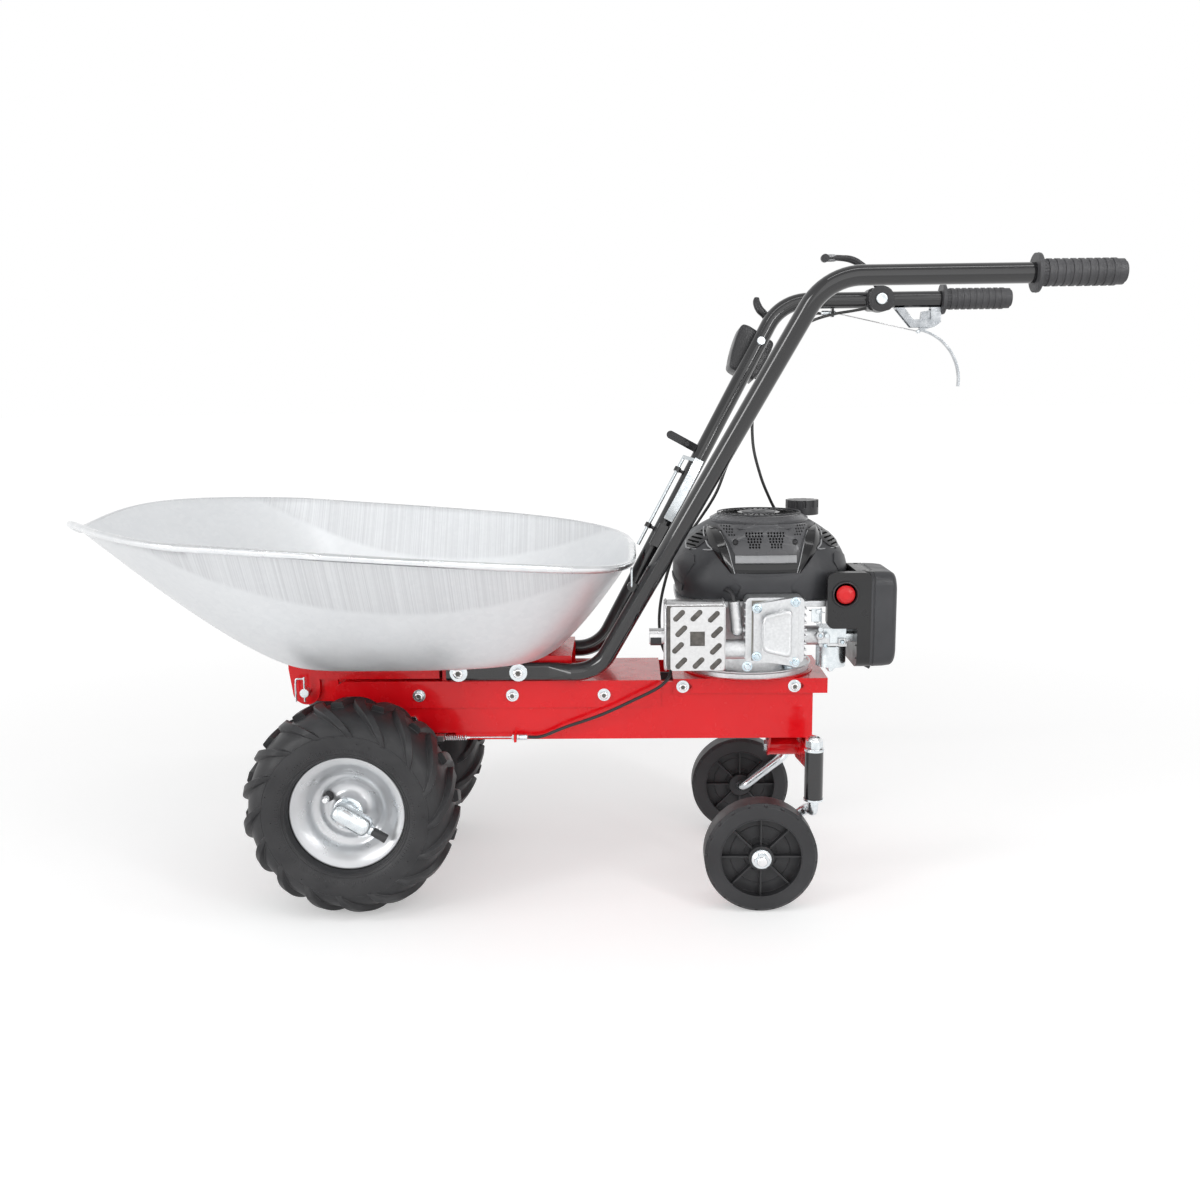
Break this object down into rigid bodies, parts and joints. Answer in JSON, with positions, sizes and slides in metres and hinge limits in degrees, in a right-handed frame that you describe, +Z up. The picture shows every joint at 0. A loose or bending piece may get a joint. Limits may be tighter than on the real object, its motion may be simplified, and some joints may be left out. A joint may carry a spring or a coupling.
{
  "type": "motorised wheelbarrow",
  "caption": "Walk-behind motorised wheelbarrow: tipping galvanised tub over driven lugged wheels, engine on a red chassis, rear swivel casters and long control handles.",
  "frame": {"origin": "on the ground under the middle of the overall box", "axes": "+X from the tub's nose towards the handles, +Y towards the machine's right side, +Z up"},
  "size_m": [1.562, 0.6942, 1.014],
  "materials": {
    "red_paint": "gloss",
    "black_paint": "semi-gloss",
    "silver_paint": "satin",
    "galvanised": "spangled satin",
    "zinc": "bright zinc",
    "steel": "machined",
    "cast_alloy": "cast",
    "black_rubber": "matte",
    "red_rubber": "satin",
    "tyre_rubber": "matte",
    "dark_plastic": "fine grain",
    "black_plastic": "satin",
    "cord_jacket": "satin"
  },
  "bodies": {
    "chassis": {"chassis_frame": "red_paint", "handle_saddle": "red_paint", "belt_cover": "red_paint", "engine_plate": "red_paint", "gearbox": "cast_alloy", "left_handlebar": "black_paint", "right_handlebar": "black_paint", "control_console": "dark_plastic", "left_grip": "black_rubber", "right_grip": "black_rubber", "foot_bolts": "zinc", "frame_bolts": "zinc", "tub_hinge_pin": "zinc", "drive_cable": "cord_jacket", "throttle_cable": "cord_jacket", "cable_fittings": "zinc", "throttle_housing": "dark_plastic", "lever_bracket": "zinc", "engine_block": "cast_alloy", "rocker_cover": "cast_alloy", "muffler": "steel", "muffler_guard": "steel", "engine_cowl": "dark_plastic", "starter_housing": "dark_plastic", "air_filter_base": "black_plastic", "air_filter_cover": "dark_plastic", "carburettor": "cast_alloy", "spark_plug_boot": "black_rubber", "engine_screws": "zinc", "drive_belt": "black_rubber", "drive_spring": "zinc"},
    "tub": {"tub": "galvanised", "tub_bracket": "red_paint"},
    "tub_catch": {"tub_catch": "zinc"},
    "release_lever": {"release_lever": "black_plastic"},
    "release_rod": {"release_rod": "zinc"},
    "throttle_lever": {"throttle_lever": "dark_plastic"},
    "drive_lever": {"drive_lever": "zinc"},
    "gear_lever": {"gear_lever": "dark_plastic"},
    "tensioner": {"tensioner": "steel"},
    "crankshaft": {"crankshaft": "steel"},
    "gearbox_pulley": {"gearbox_pulley": "steel"},
    "primer_bulb": {"primer_bulb": "red_rubber"},
    "fuel_cap": {"fuel_cap": "black_plastic"},
    "starter_handle": {"starter_handle": "black_plastic"},
    "drive_axle": {"drive_axle": "steel"},
    "left_wheel": {"left_tyre": "tyre_rubber", "left_rim": "silver_paint", "left_wheel_lock": "zinc"},
    "right_wheel": {"right_tyre": "tyre_rubber", "right_rim": "silver_paint", "right_wheel_lock": "zinc"},
    "left_lock_pin": {"left_lock_pin": "black_plastic"},
    "right_lock_pin": {"right_lock_pin": "black_plastic"},
    "caster_beam": {"caster_beam": "red_paint", "caster_posts": "black_paint"},
    "left_caster_fork": {"left_caster_fork": "zinc"},
    "right_caster_fork": {"right_caster_fork": "zinc"},
    "left_caster_wheel": {"left_caster_wheel": "tyre_rubber"},
    "right_caster_wheel": {"right_caster_wheel": "tyre_rubber"}
  },
  "joints": [
    {"name": "tub_tip", "type": "hinge", "parent": "chassis", "child": "tub", "pos_m": [-0.403, 0, 0.3219], "axis": [0, -1, 0], "range_deg": [0, 70]},
    {"name": "catch_swing", "type": "hinge", "parent": "chassis", "child": "tub_catch", "pos_m": [0.1157, -0.12433, 0.49488], "axis": [0, 1, 0], "range_deg": [0, 25]},
    {"name": "release_turn", "type": "hinge", "parent": "chassis", "child": "release_lever", "pos_m": [0.21447, 0.17692, 0.6954], "axis": [0, 1, 0], "range_deg": [0, 20], "stiffness_Nm_per_rad": 0.05, "springref_deg": -11.46},
    {"name": "release_push", "type": "slide", "parent": "chassis", "child": "release_rod", "axis": [0.4687, 0.2293, 0.8531], "range_m": [0, 0.01], "stiffness_N_per_m": 300, "springref_m": -0.004},
    {"name": "throttle_turn", "type": "hinge", "parent": "chassis", "child": "throttle_lever", "pos_m": [0.551, 0.246, 0.938], "axis": [0, 1, 0], "range_deg": [0, 60]},
    {"name": "drive_squeeze", "type": "hinge", "parent": "chassis", "child": "drive_lever", "pos_m": [0.646, 0.246, 0.912], "axis": [0, -1, 0], "range_deg": [0, 45], "stiffness_Nm_per_rad": 1.5, "springref_deg": -17.19},
    {"name": "tensioner_turn", "type": "hinge", "parent": "chassis", "child": "tensioner", "pos_m": [-0.19, -0.04, 0.249], "axis": [0, 0, 1], "range_deg": [0, 7], "deforming": ["drive_spring"]},
    {"name": "gear_select", "type": "hinge", "parent": "chassis", "child": "gear_lever", "pos_m": [0.32984, 0.25778, 0.84308], "axis": [0.1104, -0.9734, 0.2009], "range_deg": [-15, 15]},
    {"name": "crank_spin", "type": "hinge", "parent": "chassis", "child": "crankshaft", "pos_m": [0.303, 0, 0.315], "axis": [0, 0, 1], "continuous": true},
    {"name": "gearbox_spin", "type": "hinge", "parent": "chassis", "child": "gearbox_pulley", "pos_m": [-0.24, 0, 0.315], "axis": [0, 0, 1], "continuous": true},
    {"name": "primer_press", "type": "slide", "parent": "chassis", "child": "primer_bulb", "axis": [0, 1, 0], "range_m": [0, 0.004], "stiffness_N_per_m": 600},
    {"name": "cap_turn", "type": "hinge", "parent": "chassis", "child": "fuel_cap", "pos_m": [0.4, 0.075, 0.59], "axis": [0, 0, 1], "range_deg": [0, 90]},
    {"name": "starter_pull", "type": "slide", "parent": "chassis", "child": "starter_handle", "axis": [0, 1, 0], "range_m": [0, 0.5], "stiffness_N_per_m": 20, "springref_m": -0.2},
    {"name": "axle_spin", "type": "hinge", "parent": "chassis", "child": "drive_axle", "pos_m": [-0.316, 0, 0.165], "axis": [0, 1, 0], "continuous": true},
    {"name": "left_wheel_spin", "type": "hinge", "parent": "chassis", "child": "left_wheel", "pos_m": [-0.316, -0.162, 0.165], "axis": [0, 1, 0], "continuous": true},
    {"name": "right_wheel_spin", "type": "hinge", "parent": "chassis", "child": "right_wheel", "pos_m": [-0.316, 0.162, 0.165], "axis": [0, 1, 0], "continuous": true},
    {"name": "left_lock_pull", "type": "slide", "parent": "left_wheel", "child": "left_lock_pin", "axis": [0.848, 0, -0.5299], "range_m": [0, 0.012], "stiffness_N_per_m": 600, "springref_m": -0.004},
    {"name": "right_lock_pull", "type": "slide", "parent": "right_wheel", "child": "right_lock_pin", "axis": [0.848, 0, -0.5299], "range_m": [0, 0.012], "stiffness_N_per_m": 600, "springref_m": -0.004},
    {"name": "beam_rock", "type": "hinge", "parent": "chassis", "child": "caster_beam", "pos_m": [0.389, 0, 0.206], "axis": [1, 0, 0], "range_deg": [-10, 10]},
    {"name": "left_caster_swivel", "type": "hinge", "parent": "caster_beam", "child": "left_caster_fork", "pos_m": [0.389, -0.172, 0.212], "axis": [0, 0, 1], "continuous": true},
    {"name": "left_caster_spin", "type": "hinge", "parent": "left_caster_fork", "child": "left_caster_wheel", "pos_m": [0.309, -0.172, 0.086], "axis": [0, 1, 0], "continuous": true},
    {"name": "right_caster_swivel", "type": "hinge", "parent": "caster_beam", "child": "right_caster_fork", "pos_m": [0.389, 0.172, 0.212], "axis": [0, 0, 1], "continuous": true},
    {"name": "right_caster_spin", "type": "hinge", "parent": "right_caster_fork", "child": "right_caster_wheel", "pos_m": [0.309, 0.172, 0.086], "axis": [0, 1, 0], "continuous": true}
  ],
  "couplings": [
    {"joint": "release_turn", "follows": "release_push", "rad_per_m": 34.907},
    {"joint": "tensioner_turn", "follows": "drive_squeeze", "ratio": 0.15556},
    {"joint": "left_wheel_spin", "follows": "axle_spin", "ratio": 1},
    {"joint": "right_wheel_spin", "follows": "axle_spin", "ratio": 1}
  ]
}
